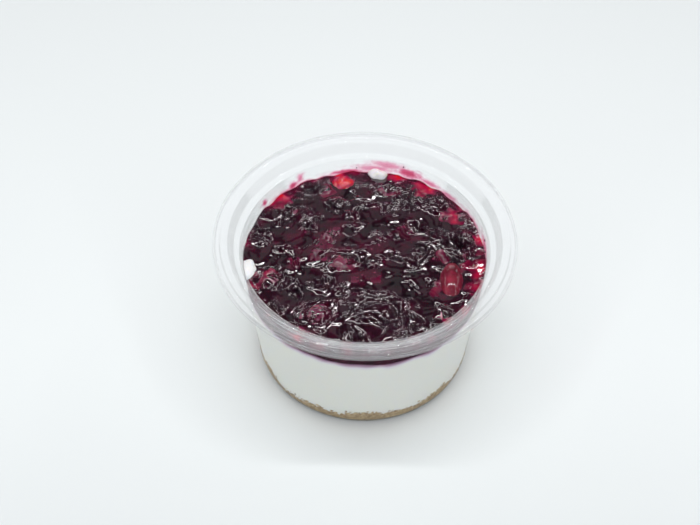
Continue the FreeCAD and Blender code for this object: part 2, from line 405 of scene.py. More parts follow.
def compote_material(name="compote", coat=1.0):
    """Dark syrup and cooked fruit, redder where it lies thin, and darker where painted shade lies
    in the hollows.
    """
    mat, tree, shader = material(
        name, Roughness=0.3, Coat_Weight=coat, Coat_Roughness=0.06, Coat_IOR=1.95,
        Specular_IOR_Level=0.0, Subsurface_Weight=0.15, Subsurface_Scale=0.0012,
        Subsurface_Radius=(1.0, 0.12, 0.2))
    mottle = object_noise(tree, 260, 4.0, 0.6)
    mottled = compute(tree, "MULTIPLY_ADD", mottle, MOTTLE, painted(tree, "thin_and_shade"))
    ramp(tree, mottled, [
        (0.12, (0.006, 0.002, 0.005)),
        (0.30, (0.030, 0.004, 0.013)),
        (0.45, (0.075, 0.004, 0.022)),
        (0.66, (0.190, 0.002, 0.030)),
        (0.86, (0.430, 0.004, 0.045)),
        (1.0, (0.640, 0.001, 0.006))], shader)
    bump(tree, shader, object_noise(tree, 1400, 2.0), 0.05, 0.0002)
    return mat


# ---- the cup
def cup_section():
    """Middle line of the cup's skin, from the axis to the skirt's edge."""
    points = [
        (0, PANEL_LIFT + HALF_SKIN),
        (PANEL_RADIUS, PANEL_LIFT + HALF_SKIN),
        (PANEL_RADIUS + PANEL_LIFT, HALF_SKIN),
        (FOOT_RADIUS - HALF_SKIN, HALF_SKIN),
        (WALL_TOP_RADIUS - HALF_SKIN, SEAT_LEVEL + HALF_SKIN),
        (SEAT_RADIUS - HALF_SKIN, SEAT_LEVEL + HALF_SKIN),
        (MOUTH_RADIUS + HALF_SKIN, RIM_FLAT - HALF_SKIN),
        (BEAD_RADIUS, RIM_FLAT - HALF_SKIN),
        (BEAD_RADIUS + BEAD_RISE, CUP_HEIGHT - HALF_SKIN),
        (RIM_RADIUS - HALF_SKIN, CUP_HEIGHT - HALF_SKIN),
        (RIM_RADIUS - HALF_SKIN, SKIRT_EDGE + HALF_SKIN),
    ]
    bends = [0.7, 0.7, 4.2, 0.8, 0.8, 0.55, 0.6, 0.6, 0.9]
    return rounded(points, bends)


# The section's floor, and its side from the foot to just past the seat's bend.
SECTION = cup_section()
FLOOR_END = int(np.argmax(SECTION[:, 0] > PANEL_RADIUS + 3))
UNDER_SEAT = SEAT_LEVEL - 1.0
SIDE = SECTION[FLOOR_END:][SECTION[FLOOR_END:, 1] < UNDER_SEAT]
SIDE = np.vstack([SIDE, SECTION[np.argmax(SECTION[:, 1] > UNDER_SEAT)]])
FLOOR_LINE = SECTION[:FLOOR_END]
# Points of the arc round the skirt's edge, with its two ends.
CAP_STEPS = 7


def wall_radius(z):
    """Radius of the middle of the wall at a height."""
    return np.interp(z, SIDE[:, 1], SIDE[:, 0])


def build_cup():
    """The clear cup, as one skin with a rounded edge to its skirt."""
    outside = offset(SECTION, -HALF_SKIN)
    inside = offset(SECTION, HALF_SKIN)
    outside[0, 0] = inside[0, 0] = 0.0
    end = SECTION[-1]
    angles = np.linspace(0, math.pi, CAP_STEPS)[1:-1]
    cap = end + HALF_SKIN * np.stack([np.cos(angles), -np.sin(angles)], 1)
    cup = lathe("cup_shell", np.vstack([inside, cap, outside[::-1]]), clear_plastic())
    hazy = smoothstep(SEAT_LEVEL - 0.5, SEAT_LEVEL + 0.6, coordinates(cup.data)[:, 2])
    paint(cup, "clear", 1 - RIM_HAZE * hazy)
    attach(cup, "root")
    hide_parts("cup")


build_cup()


# ---- filling
AROUND = 480
BEARINGS = np.arange(AROUND) * 2 * np.pi / AROUND
SIDE_ROWS = 26
RINGS = 60
FILLING_RADIUS = 38.0


def on_circle(wavelength, seed):
    """Noise round the cup's wall, which meets itself after a full turn."""
    reach = FILLING_RADIUS / wavelength
    return noise(reach * np.cos(BEARINGS), reach * np.sin(BEARINGS), seed)


def gap_from(bearing_deg):
    """Angle from each bearing to a given one, in degrees."""
    return np.abs((np.degrees(BEARINGS) - bearing_deg + 180) % 360 - 180)


# The crumb base's edge at the wall: its height, and where it rises: bearing and
# half width in degrees, and height.
CRUST_EDGE = 5.2
CRUST_TOP = 4.8
CRUST_HUMPS = [(270, 14, 2.2), (211, 5, 1.8), (312, 9, 1.4)]


def crust_edge():
    """Height of the crumb base against the wall, round the cup."""
    edge = CRUST_EDGE + 1.5 * on_circle(9, 11) + 1.0 * on_circle(2.4, 12) + 0.6 * on_circle(1.0, 13)
    for bearing, wide, height in CRUST_HUMPS:
        edge += height * np.exp(-(gap_from(bearing) / wide) ** 2)
    return edge


def around_wall(values, bearing):
    """A height given for each of BEARINGS, read at other bearings in radians."""
    return np.interp(bearing, BEARINGS, values, period=2 * np.pi)


# How far the cream's upper edge is drawn above its level in the CAD.
CREAM_RISE = 0.7


def cream_edge():
    """Height of the cream against the wall, round the cup."""
    return CREAM_LEVEL + CREAM_RISE + 0.45 * on_circle(26, 21) + 0.4 * on_circle(7, 22)


def layer(name, low, high, floor, ceiling, material_):
    """A layer of the filling, from one height round the wall to another.

    floor and ceiling give the heights of its underside and top inside the
    wall, as functions of x and y; a floor of None follows the cup's own.
    """
    heights = low + np.linspace(0, 1, SIDE_ROWS)[:, None] * (high - low)
    side = polar(wall_radius(heights), BEARINGS, heights)
    top = []
    for ring in range(1, RINGS):
        x, y = side[-1, :, :2].T * (1 - ring / RINGS)
        inside = smoothstep(0.01, 0.10, ring / RINGS)
        top.append(np.stack([x, y, high * (1 - inside) + ceiling(x, y) * inside], -1))
    if floor is None:
        bottom = [polar(radius, BEARINGS, height) for radius, height in FLOOR_LINE[1:]]
        middle_low = FLOOR_LINE[0][1]
    else:
        bottom = []
        for ring in range(1, RINGS, 3):
            x, y = side[0, :, :2].T * (ring / RINGS)
            bottom.append(np.stack([x, y, floor(x, y)], -1))
        middle_low = float(floor(np.zeros(1), np.zeros(1))[0])
    middle_high = float(ceiling(np.zeros(1), np.zeros(1))[0])
    rings = np.concatenate([np.array(bottom), side, np.array(top)])
    verts = np.vstack([[0, 0, middle_low], rings.reshape(-1, 3), [0, 0, middle_high]])
    return new_object(name, verts, closed_faces(len(rings), AROUND), material_)


def build_crust():
    """The crumb base: its side is pressed against the wall."""
    def top(x, y):
        return CRUST_TOP + 0.7 * noise(x / 9, y / 9, 31) + 0.3 * noise(x / 2, y / 2, 32)

    tan, brown = (0.50, 0.385, 0.235), (0.25, 0.170, 0.095)
    mat = crumb_material("crumb", tan, brown)
    crust = layer("crumb_base", np.full(AROUND, SIDE[0, 1]), crust_edge(), None, top, mat)
    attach(crust, "root")
    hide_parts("crust")


def build_cream():
    """The cream cheese, with the compote's stain at its top edge."""
    def under(x, y):
        return np.full_like(x, CRUST_TOP - 0.6)

    def top(x, y):
        return CREAM_LEVEL + 0.6 * noise(x / 14, y / 14, 41)

    high = cream_edge()
    cream = layer("cream_layer", crust_edge() - 0.05, high, under, top, cream_material())
    x, y, z = coordinates(cream.data).T
    edge = around_wall(high, np.arctan2(y, x))
    depth = 3.0 + 1.4 * noise(x / 5, y / 5, 42)
    paint(cream, "stain", 1 - smoothstep(0.0, depth, edge - z))
    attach(cream, "root")
    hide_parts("cream")


build_crust()
build_cream()


# ---- compote
# Each place in these tables is x and y, as seen from above.
# Patches of fine rumples: place and radius.
RUMPLES = [
    (-26.0, 18.5, 2.6), (-17.6, 14.4, 3.8), (-33.0, 8.0, 3.4), (-0.4, 28.0, 4.0),
    (-11.4, 8.2, 2.4), (-30.0, -10.0, 4.2), (-7.8, -3.2, 3.4), (-0.5, -3.4, 3.2),
    (-23.0, -14.5, 4.0), (-12.2, -12.6, 3.8), (-6.0, -14.7, 2.8), (15.0, 25.5, 5.0),
    (3.9, 8.0, 2.6), (17.4, 3.5, 2.4), (18.0, -2.1, 2.0), (20.7, -11.0, 2.4),
    (32.5, 10.2, 3.2), (-5.3, -22.3, 3.0), (15.5, -27.0, 3.2), (25.6, 5.2, 3.4),
    (8.5, -30.0, 4.2), (22.5, 22.6, 4.4), (-27.0, -22.5, 3.0),
    (9.0, 20.8, 3.4), (-19.0, -34.0, 2.5), (23.0, -28.0, 3.0),
    (-10.0, 22.5, 2.6), (33.0, 18.0, 3.0), (-1.0, -34.0, 3.0), (31.0, 1.0, 2.6),
]
# Pits between pieces of fruit: place, half length, half width, turn, depth.
PITS = [
    (-23.3, 18.6, 1.9, 1.5, 0, 1.0), (-26.0, 2.3, 2.8, 1.3, 170, 1.1),
    (-21.6, -3.4, 4.0, 1.3, 118, 1.3), (-15.2, -1.2, 2.0, 1.5, 30, 0.9),
    (-15.3, 5.4, 1.0, 0.8, 60, 0.6), (-17.2, -11.8, 1.0, 0.9, 0, 0.6),
    (-14.4, -24.6, 6.6, 3.9, 4, 1.6), (5.8, -22.0, 8.2, 4.0, 3, 2.9),
    (13.9, -2.4, 3.1, 0.8, 150, 0.9), (25.4, -0.4, 2.8, 1.8, 110, 1.2),
    (28.0, 6.8, 5.6, 2.8, 160, 2.6), (16.8, 12.4, 3.6, 2.3, 150, 2.0),
    (20.7, -10.6, 1.6, 1.2, 60, 0.8), (7.6, 28.3, 3.6, 1.4, 10, 1.0),
    (26.7, -23.3, 1.1, 0.9, 0, 0.6), (-27.0, -22.8, 1.9, 1.3, 120, 0.9),
    (-8.7, 24.3, 0.9, 0.8, 0, 0.5), (-20.3, 20.9, 1.1, 0.7, 40, 0.5),
    (-14.0, 16.3, 0.9, 0.9, 0, 0.5), (-9.3, 18.6, 0.8, 0.6, 30, 0.4),
    (-0.2, -18.2, 1.5, 0.8, 20, 0.8), (9.5, 1.0, 2.4, 0.7, 20, 0.7),
    (-28.5, 13.5, 2.2, 1.2, 50, 0.9), (33.8, -2.0, 2.0, 1.4, 80, 1.0),
    (-2.6, -14.2, 2.4, 0.8, 170, 0.8), (-33.5, -13.0, 2.2, 1.1, 110, 0.8),
]
# Low mounds: place, half length, half width, turn, height.
MOUNDS = [
    (-2.3, 12.7, 2.2, 1.7, 20, 0.6), (-4.3, -31.0, 3.6, 2.2, 110, 1.0),
    (32.3, -16.8, 3.8, 1.7, 62, 0.9), (-17.5, -33.0, 3.0, 1.8, 160, 0.6),
    (7.5, -19.4, 1.0, 1.3, 0, 0.6), (11.7, -20.2, 1.0, 1.3, 20, 0.6),
    (15.8, 12.9, 1.5, 1.1, 0, 0.8), (-7.8, -3.0, 2.1, 1.9, 0, 0.7),
    (11.0, 24.0, 1.6, 1.2, 40, 0.6), (17.0, 27.5, 1.8, 1.3, 120, 0.6),
    (5.0, 20.8, 0.9, 0.8, 0, 0.5), (7.6, 20.5, 1.0, 0.8, 0, 0.5),
    (10.3, 20.9, 0.9, 0.8, 0, 0.5), (13.2, 20.9, 1.0, 0.8, 0, 0.5),
    (-30.5, -9.0, 2.4, 3.4, 160, 0.8), (31.9, 10.4, 3.0, 2.0, 20, 0.9),
    (-12.5, -29.5, 2.0, 1.2, 0, 0.5), (20.0, -17.5, 5.0, 3.0, 140, 0.35),
]
# Raised folds of skin: their points, half width and height; below 0, a groove.
FOLDS = [
    ([(-5.0, 21.0), (1.4, 23.3), (8.0, 22.2)], 0.55, 0.55),
    ([(-5.0, 19.8), (1.6, 21.9), (7.0, 21.2)], 0.55, -0.55),
    ([(-17.4, 0.7), (-11.0, 2.0), (-4.0, 1.2), (1.7, 2.2)], 0.5, 0.45),
    ([(-20.6, -23.6), (-19.6, -20.9), (-14.0, -19.2), (-9.0, -19.6), (-6.6, -21.8)], 0.7, 0.8),
    ([(-26.8, -4.6), (-27.8, -9.5), (-31.5, -14.5)], 0.6, 0.7),
    ([(-24.8, -5.5), (-25.8, -11.0), (-28.8, -15.5)], 0.6, 0.5),
    ([(0.2, -4.4), (4.0, -2.6), (9.3, -0.4)], 0.5, 0.5),
    ([(-2.5, -16.4), (1.0, -15.0), (7.0, -15.6), (12.0, -18.3), (14.8, -21.6)], 0.7, 0.8),
    ([(-3.0, -27.2), (3.0, -25.0), (8.0, -26.6), (14.5, -25.0)], 0.6, 0.7),
    ([(19.8, 9.6), (25.0, 9.2), (30.5, 5.6), (35.5, 3.4)], 0.8, 0.7),
    ([(18.8, 24.6), (22.5, 25.4), (26.0, 24.0)], 0.5, 0.6),
    ([(18.2, 22.4), (22.5, 22.9), (26.2, 21.6)], 0.5, 0.6),
    ([(18.4, 20.2), (22.0, 20.5), (25.6, 19.2)], 0.5, 0.6),
    ([(-10.5, -5.9), (-7.5, -6.6), (-4.6, -5.4)], 0.45, 0.45),
    ([(-18.2, -21.9), (-12.6, -25.6), (-8.8, -27.6)], 0.5, 0.8),
    ([(-19.6, -25.2), (-14.0, -23.2), (-9.0, -24.4)], 0.5, 0.7),
    ([(6.5, 15.0), (11.5, 10.0), (14.0, 6.5)], 0.9, -0.3),
    ([(21.5, 2.6), (22.5, -3.5), (25.5, -7.5)], 0.7, 0.5),
    ([(3.6, 30.4), (8.6, 31.4), (12.6, 29.4)], 0.5, 0.5),
    ([(13.0, -9.5), (19.5, -16.0), (24.0, -21.5)], 1.1, -0.3),
]
# Places where the compote lies thin: place, reach, and how thin, so that red shows.
THIN = [
    (-7.8, 34.5, 4.0, 0.60), (-28.0, 24.0, 4.5, 0.48), (-8.2, -4.5, 6.0, 0.46),
    (-14.4, -24.6, 7.0, 0.40), (-31.0, -10.5, 4.5, 0.46), (10.7, 35.4, 3.5, 0.55),
    (24.5, 0.0, 3.5, 0.48), (34.5, -4.0, 5.0, 0.48), (-21.6, -3.4, 3.5, 0.40),
    (-15.2, -1.2, 3.5, 0.44), (-23.3, 18.6, 2.0, 0.50), (8.0, 29.0, 4.0, 0.50),
    (28.5, 17.5, 4.0, 0.55), (19.0, 30.5, 5.0, 0.50), (36.0, 8.0, 4.0, 0.45),
    (-12.0, 27.5, 5.0, 0.45), (26.0, -25.0, 4.0, 0.38), (-17.0, -32.0, 4.0, 0.36),
    (24.0, -12.5, 5.0, 0.58), (35.0, -12.0, 4.5, 0.44), (33.0, -21.5, 3.5, 0.40),
    (0.0, -9.0, 7.0, 0.34), (-20.0, 5.0, 9.0, 0.32), (-13.0, 3.0, 9.0, 0.36),
    (-9.0, 11.0, 7.0, 0.32), (4.0, 3.0, 8.0, 0.28), (12.0, 10.0, 7.0, 0.30),
]
# The share of it that is kept in the middle and near the wall, to two digits, and
# the radius where they part.
THIN_MIDDLE, THIN_OUTSIDE = 0.62, 1.05
THIN_BORDER = 31.0


def spots(x, y, table, relief, lean=0.0):
    """Add up a relief over its places; it gets each distance in half widths.

    A lean makes the side towards the front deeper than the side behind.
    """
    total = np.zeros_like(x)
    for cx, cy, length, width, turn, size in table:
        near = np.hypot(x - cx, y - cy) < 2.2 * max(length, width) + 1.5
        c, s = math.cos(math.radians(turn)), math.sin(math.radians(turn))
        dx, dy = x[near] - cx, y[near] - cy
        away = np.hypot((dx * c + dy * s) / length, (dy * c - dx * s) / width)
        slant = 1 - lean * np.clip((y[near] - cy) / math.hypot(length * s, width * c), -1, 1)
        total[near] += relief(away, size) * slant
    return total


def from_path(x, y, points):
    """Distance to a path, and how far along it between 0 and 1."""
    nearest = np.full_like(x, 1e9)
    along = np.zeros_like(x)
    count = len(points) - 1
    for k in range(count):
        (ax, ay), (bx, by) = points[k], points[k + 1]
        run = (bx - ax) ** 2 + (by - ay) ** 2
        t = np.clip(((x - ax) * (bx - ax) + (y - ay) * (by - ay)) / run, 0, 1)
        away = np.hypot(x - ax - t * (bx - ax), y - ay - t * (by - ay))
        closer = away < nearest
        nearest[closer] = away[closer]
        along[closer] = (k + t[closer]) / count
    return nearest, along


def folds(x, y):
    """Raised folds and grooves that fade at their ends."""
    total = np.zeros_like(x)
    for points, width, height in FOLDS:
        away, along = from_path(x, y, points)
        ends = smoothstep(0.0, 0.15, along) * (1 - smoothstep(0.85, 1.0, along))
        total += height * ends * np.exp(-(away / width) ** 2)
    return total


def rumpled_share(x, y):
    """1 where the compote is finely rumpled, 0 on its smooth patches."""
    share = np.zeros_like(x)
    for cx, cy, radius in RUMPLES:
        away = np.hypot(x - cx, y - cy) / radius
        share = np.maximum(share, 1 - smoothstep(0.55, 1.2, away))
    return share


def pit(away, depth):
    """A pit with a round shoulder and a faint lip."""
    bowl = -1.5 * depth * (1 - smoothstep(0.25, 1.15, away))
    return bowl + 0.12 * depth * np.exp(-((away - 1.2) / 0.22) ** 2)


def inside_pit(away, depth):
    """1 inside the larger pits, 0 outside."""
    return min(1.0, depth) * (1 - smoothstep(0.7, 1.3, away))


def mound(away, height):
    """A mound that the syrup climbs a little."""
    return height * (1 - smoothstep(0.35, 1.25, away))


# Beads near each patch of rumples, and loose ones, which lie within a radius.
PATCH_BEADS = 2
LOOSE_BEADS = 60
LOOSE_RADIUS = 36


def make_beads():
    """Seeds and drops under the syrup: place, size and turn of each."""
    rng = np.random.RandomState(5)
    beads = []
    for cx, cy, radius in RUMPLES:
        for _ in range(PATCH_BEADS):
            bearing, out = rng.uniform(0, 2 * np.pi), radius * rng.uniform(0.5, 1.7)
            beads.append((cx + out * math.cos(bearing), cy + out * math.sin(bearing),
                          rng.uniform(0.6, 1.3), rng.uniform(0.5, 0.9),
                          rng.uniform(0, 180), rng.uniform(0.3, 0.6)))
    for _ in range(LOOSE_BEADS):
        bearing, out = rng.uniform(0, 2 * np.pi), LOOSE_RADIUS * math.sqrt(rng.uniform(0, 1))
        beads.append((out * math.cos(bearing), out * math.sin(bearing),
                      rng.uniform(0.4, 0.8), rng.uniform(0.35, 0.6),
                      rng.uniform(0, 180), rng.uniform(0.12, 0.3)))
    return beads


def thinness_and_hollow_shade(x, y):
    """How thin the compote lies, between 0 and 1, with painted shade that lowers it in the deep
    hollows.
    """
    total = 0.10 * (noise(x / 11, y / 11, 61) + 0.3) + 0.06 * noise(x / 3, y / 3, 63)
    for cx, cy, radius, amount in THIN:
        share = THIN_MIDDLE if math.hypot(cx, cy) < THIN_BORDER else THIN_OUTSIDE
        away = np.hypot(x - cx, y - cy) / radius + 0.55 * noise(x / 3.4, y / 2.6, 64)
        total = np.maximum(total, round(amount * share, 2) * (1 - smoothstep(0.25, 1.2, away)))
    rim = smoothstep(34.0, FILLING_RADIUS, np.hypot(x, y))
    red_rim = 0.24 * rim * (0.7 + 1.2 * noise(x / 4.5, y / 4.5, 62))
    # Painted shade: the value is lowered in the deep hollows away from the wall, so that they
    # render darker.
    return np.clip(total + red_rim - 0.16 * hollows(x, y) * (1 - rim), 0, 0.8)


def hollows(x, y):
    """1 in the deep gaps between pieces of fruit, 0 outside."""
    return smoothstep(0.12, 0.46, noise(x / 6.4, y / 5.0, 93))


# Heights and depths of the compote's relief.
ISLAND_HEIGHT = 0.75
HOLLOW_DEPTH = 1.9
LUMP_HEIGHT = 0.50
SLIT_DEPTH = 1.2
SWEEP_HEIGHT = 0.10
WALL_ROLL = 0.9
BACK_DROP = 0.6
# How much more a pit sinks in front, and how rumpled the smooth patches are.
PIT_LEAN = 0.55
SMOOTH_SHARE = 0.16


def compote_surface(x, y):
    """Height of the compote's wet top: smooth patches among rumpled skins."""
    warp_x = x + 0.9 * noise(x / 3.4, y / 3.4, 81)
    warp_y = y + 0.9 * noise(x / 3.4, y / 3.4, 82)
    height = COMPOTE_LEVEL + 0.45 * noise(x / 19, y / 19, 83) + 0.14 * noise(x / 7.5, y / 7.5, 84)
    height += spots(warp_x, warp_y, PITS, pit, PIT_LEAN) + spots(warp_x, warp_y, MOUNDS, mound)
    height += folds(warp_x, warp_y)
    in_pit = np.clip(spots(warp_x, warp_y, PITS, inside_pit), 0, 1)
    height += (1 - in_pit) * spots(x, y, make_beads(), mound)
    rumpled = rumpled_share(warp_x, warp_y) * (1 - in_pit)
    some = SMOOTH_SHARE * (1 - in_pit) + (1 - SMOOTH_SHARE) * rumpled
    islands = noise(warp_x / 8.5, warp_y / 6.5, 85)
    height += some * ISLAND_HEIGHT * smoothstep(0.03, 0.20, islands)
    height -= some * HOLLOW_DEPTH * hollows(warp_x, warp_y)
    lumps = noise(warp_x / 5.0, warp_y / 4.2, 86)
    height += rumpled * LUMP_HEIGHT * smoothstep(0.06, 0.30, lumps)
    slits = noise((warp_x + warp_y) / 11.0, (warp_x - warp_y) / 4.6, 89)
    height -= rumpled * SLIT_DEPTH * smoothstep(0.14, 0.36, slits)
    height += (1 - rumpled) * SWEEP_HEIGHT * noise((x + y) / 12, (x - y) / 4.5, 88)
    near_wall = smoothstep(32.0, 37.5, np.hypot(x, y))
    height += near_wall * (WALL_ROLL * noise(x / 5.5, y / 5.5, 90) - 0.2)
    return height - BACK_DROP * smoothstep(31, FILLING_RADIUS, y)


def berry_frame(node):
    """Centre, axes and half lengths of a CAD berry, from its own mesh."""
    points = coordinates(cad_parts[node].data)
    centre = (points.min(0) + points.max(0)) / 2
    _, axes = np.linalg.eigh(np.cov((points - centre).T))
    lengths = np.abs((points - centre) @ axes).max(0)
    return centre, axes, lengths


BERRY_NODES = sorted(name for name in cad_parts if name.startswith("berry_"))
BERRY_FRAMES = {name: berry_frame(name) for name in BERRY_NODES}


def smooth_max(one, other, width):
    """The higher of two heights, with a round fillet where they meet."""
    share = np.clip(0.5 + 0.5 * (one - other) / width, 0, 1)
    return other * (1 - share) + one * share + width * share * (1 - share)


# Berries that stand clear of the compote, by how much further.
BARE_BERRIES = {"berry_01": 1.7, "berry_02": 2.4}
# How far the syrup falls away round a berry, and the fillet at its foot.
BERRY_SLOPE = 3.0
BERRY_FILLET = 0.9


def over_berries(x, y, height):
    """Draw the compote up over its berries, with gaps that show their skins."""
    bare = 0.50 + 0.90 * noise(x / 4.6, y / 4.0, 91)
    for node, (centre, axes, lengths) in BERRY_FRAMES.items():
        near = np.hypot(x - centre[0], y - centre[1]) < lengths.max() + 2.5
        flat = np.stack([x[near] - centre[0], y[near] - centre[1]], 1) @ axes[:2]
        away = (flat ** 2 / lengths ** 2).sum(1)
        dome = lengths.min() * np.sqrt(np.clip(1 - away, 0, 1))
        crown = centre[2] + dome - BERRY_SLOPE * np.clip(away - 1, 0, None)
        cover = crown - bare[near] - BARE_BERRIES.get(node, 0.0)
        height[near] = smooth_max(cover, height[near], BERRY_FILLET)
    return height


# Cells across the compote's disc, and rows down its side.
CELLS = 298
COMPOTE_ROWS = 6


def build_compote():
    """The compote: a fine disc of relief on a smooth body down to the cream."""
    cells = CELLS
    line = np.linspace(-1, 1, cells + 1)
    a, b = np.meshgrid(line, line, indexing="ij")
    u, v = a * np.sqrt(1 - b ** 2 / 2), b * np.sqrt(1 - a ** 2 / 2)
    reach = wall_radius(COMPOTE_LEVEL)
    x, y = (u * reach).ravel(), (v * reach).ravel()
    z = over_berries(x, y, compote_surface(x, y))
    disc = np.stack([x, y, z], 1)
    side = cells + 1
    index = np.arange(side * side).reshape(side, side)
    faces = [(k, k + side, k + side + 1, k + 1) for k in index[:-1, :-1].ravel().tolist()]
    border = np.concatenate([index[:-1, 0], index[-1, :-1], index[:0:-1, -1], index[0, :0:-1]])
    bearing = np.arctan2(y[border], x[border])
    disc[border, :2] *= (wall_radius(z[border]) / np.hypot(x[border], y[border]))[:, None]
    low = around_wall(cream_edge() - 0.1, bearing)
    count = len(border)
    ring = border.tolist()
    pieces = [disc]
    for k in range(1, COMPOTE_ROWS + 1):
        height = z[border] + (low - z[border]) * k / COMPOTE_ROWS
        pieces.append(polar(wall_radius(height), bearing, height))
        start = len(disc) + (k - 1) * count
        below = list(range(start, start + count))
        faces += [(ring[j - 1], below[j - 1], below[j], ring[j]) for j in range(count)]
        ring = below
    verts = np.vstack([*pieces, [0, 0, CREAM_LEVEL - 0.3]])
    middle = len(verts) - 1
    faces += [(middle, ring[j], ring[j - 1]) for j in range(count)]
    compote = new_object("compote_top", verts, faces, compote_material())
    compote.data.materials.append(compote_material("compote_side", coat=0.0))
    on_border = np.zeros(len(verts), bool)
    on_border[border] = True
    for edge in compote.data.edges:
        edge.use_edge_sharp = bool(on_border[list(edge.vertices)].all())
    for polygon in compote.data.polygons[cells * cells:]:
        polygon.material_index = 1
    x, y, z = verts.T
    deep = smoothstep(0.3, 2.5, COMPOTE_LEVEL - 1.0 - z) * (np.hypot(x, y) > FILLING_RADIUS - 1.0)
    paint(compote, "thin_and_shade", thinness_and_hollow_shade(x, y) * (1 - deep) + 0.1 * deep)
    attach(compote, "root")
    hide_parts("compote")


build_compote()


# ---- berries
def noise3(points, seed):
    """Noise at points in space, from three flat noises."""
    x, y, z = points.T
    return (noise(x + 0.7 * z, y - 0.4 * z, seed) + noise(y + 11.3, z + 0.6 * x, seed + 1)
            + noise(z - 5.1, x + 0.5 * y, seed + 2)) / 2


def ball(splits):
    """Vertices and faces of a unit ball of even triangles."""
    shape = bmesh.new()
    bmesh.ops.create_icosphere(shape, subdivisions=splits, radius=1.0)
    verts = np.array([vert.co[:] for vert in shape.verts])
    faces = [tuple(vert.index for vert in face.verts) for face in shape.faces]
    shape.free()
    return verts, faces


BALL_VERTS, BALL_FACES = ball(5)
# How deep the wrinkles and the dents of a berry's skin are.
WRINKLE_DEPTH = 0.40
DENT_DEPTH = 1.2
# Berries whose skin shows red, and how red.
RED_BERRIES = {"berry_01": 0.9, "berry_02": 0.72, "berry_14": 0.26, "berry_06": 0.18,
               "berry_07": 0.22, "berry_12": 0.15}
# Berries whose skin is smoother, and the share of the wrinkles that is left.
SMOOTH_BERRIES = {"berry_01": 0.25, "berry_02": 0.6}
# Skins that lie a little off their CAD balls: shift in mm, and size.
MOVED_BERRIES = {"berry_01": ([1.4, 0.0, 0.3], 1.10), "berry_02": ([0.0, 0.0, 0.3], 1.2)}


def build_berry(node, seed, skin_material):
    """A cooked berry: a wrinkled skin over the CAD berry's own ball."""
    centre, axes, lengths = BERRY_FRAMES[node]
    place = BALL_VERTS * lengths
    swirl = place + 0.7 * np.stack([noise3(place / 2.6, seed + k) for k in (3, 23, 43)], 1)
    wrinkle = np.exp(-(noise3(swirl / 2.6, seed) * 4.0) ** 2)
    dent = np.clip(noise3(swirl / 3.6, seed + 7) - 0.05, 0, None)
    depth = SMOOTH_BERRIES.get(node, 1.0)
    if node in MOVED_BERRIES:
        shift, size = MOVED_BERRIES[node]
        centre, place = centre + shift, place * size
    shrink = (WRINKLE_DEPTH * wrinkle + DENT_DEPTH * dent) * depth / lengths.min()
    verts = centre + (place * (1.0 - shrink[:, None])) @ axes.T
    skin = new_object(node + "_skin", verts, BALL_FACES, skin_material)
    red = RED_BERRIES.get(node, 0.04)
    paint(skin, "thin_and_shade", np.clip(red + 0.14 * noise3(place / 2.2, seed + 9), 0, 1))
    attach(skin, "root")
    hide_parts(node)


def fruit_material():
    """Bare red fruit flesh, less glossy than the syrup."""
    mat, tree, shader = material(
        "fruit_flesh", Roughness=0.5, Coat_Weight=1.0, Coat_Roughness=0.10, Coat_IOR=1.6,
        Specular_IOR_Level=0.2, Subsurface_Weight=0.4, Subsurface_Scale=0.002,
        Subsurface_Radius=(1.0, 0.15, 0.2))
    ramp(tree, object_noise(tree, 220, 3.0, 0.6), [
        (0.30, (0.080, 0.001, 0.010)),
        (0.50, (0.175, 0.003, 0.022)),
        (0.70, (0.29, 0.014, 0.044))], shader)
    bump(tree, shader, object_noise(tree, 900), 0.2, 0.0003)
    return mat


# Lumps of cream that come up through the compote at the wall: bearing, top,
# half widths along the wall and inwards.
PEAKS = [(84.0, 45.6, 3.1, 3.3), (189.5, 45.1, 4.4, 3.7)]


def build_peaks():
    """The lumps of cream at the wall, as one mesh."""
    verts, faces = [], []
    for order, (bearing, top, along, inwards) in enumerate(PEAKS):
        up = (top - CREAM_LEVEL) / 2
        rough = 1 + 0.30 * noise3(BALL_VERTS * 1.2 + 7 * order, 401)
        rough += 0.02 * noise3(BALL_VERTS * 3.5, 407)
        shape = BALL_VERTS * rough[:, None] * [inwards, along, up]
        shape[:, 2] += (CREAM_LEVEL + top) / 2
        shape[:, 0] += wall_radius(top) - HALF_SKIN - 0.3 * inwards
        reach = wall_radius(shape[:, 2]) - HALF_SKIN + 0.1
        shape[:, 0] = np.minimum(shape[:, 0], np.sqrt(reach ** 2 - shape[:, 1] ** 2))
        faces += [tuple(k + len(verts) for k in face) for face in BALL_FACES]
        verts.extend(turned(shape, math.radians(bearing)).tolist())
    # Painted light: the lumps get a lighter copy of the cream's colour than the layer has, so that
    # they read white.
    lit_cream = cream_material("cream_peak", (0.88, 0.87, 0.875))
    peaks = new_object("cream_peaks", verts, faces, lit_cream)
    paint(peaks, "stain", np.zeros(len(verts)))
    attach(peaks, "root")


def build_berries():
    """All the berries."""
    wet, flesh = compote_material("berry_skin"), fruit_material()
    for order, node in enumerate(BERRY_NODES):
        build_berry(node, 200 + 60 * order, flesh if node == "berry_01" else wet)


build_berries()
build_peaks()


# ---- crumbs
SMALL_VERTS, SMALL_FACES = ball(2)
# How thick a grain is across the wall, against its width along it.
SQUASH = 0.45


def scatter(name, places, sizes, seed, material_):
    """Rough grains joined into one mesh, each flattened towards the wall."""
    rng = np.random.RandomState(seed)
    verts, faces = [], []
    for (x, y, z), size in zip(places, sizes):
        rough = SMALL_VERTS * (1 + 0.22 * rng.uniform(-1, 1, (len(SMALL_VERTS), 1)))
        shape = rough * size * rng.uniform(0.6, 1.2, 3)
        shape[:, 0] *= SQUASH
        faces += [tuple(k + len(verts) for k in face) for face in SMALL_FACES]
        verts.extend((turned(shape, math.atan2(y, x)) + [x, y, z]).tolist())
    return new_object(name, verts, faces, material_)


CRUMBS = 620


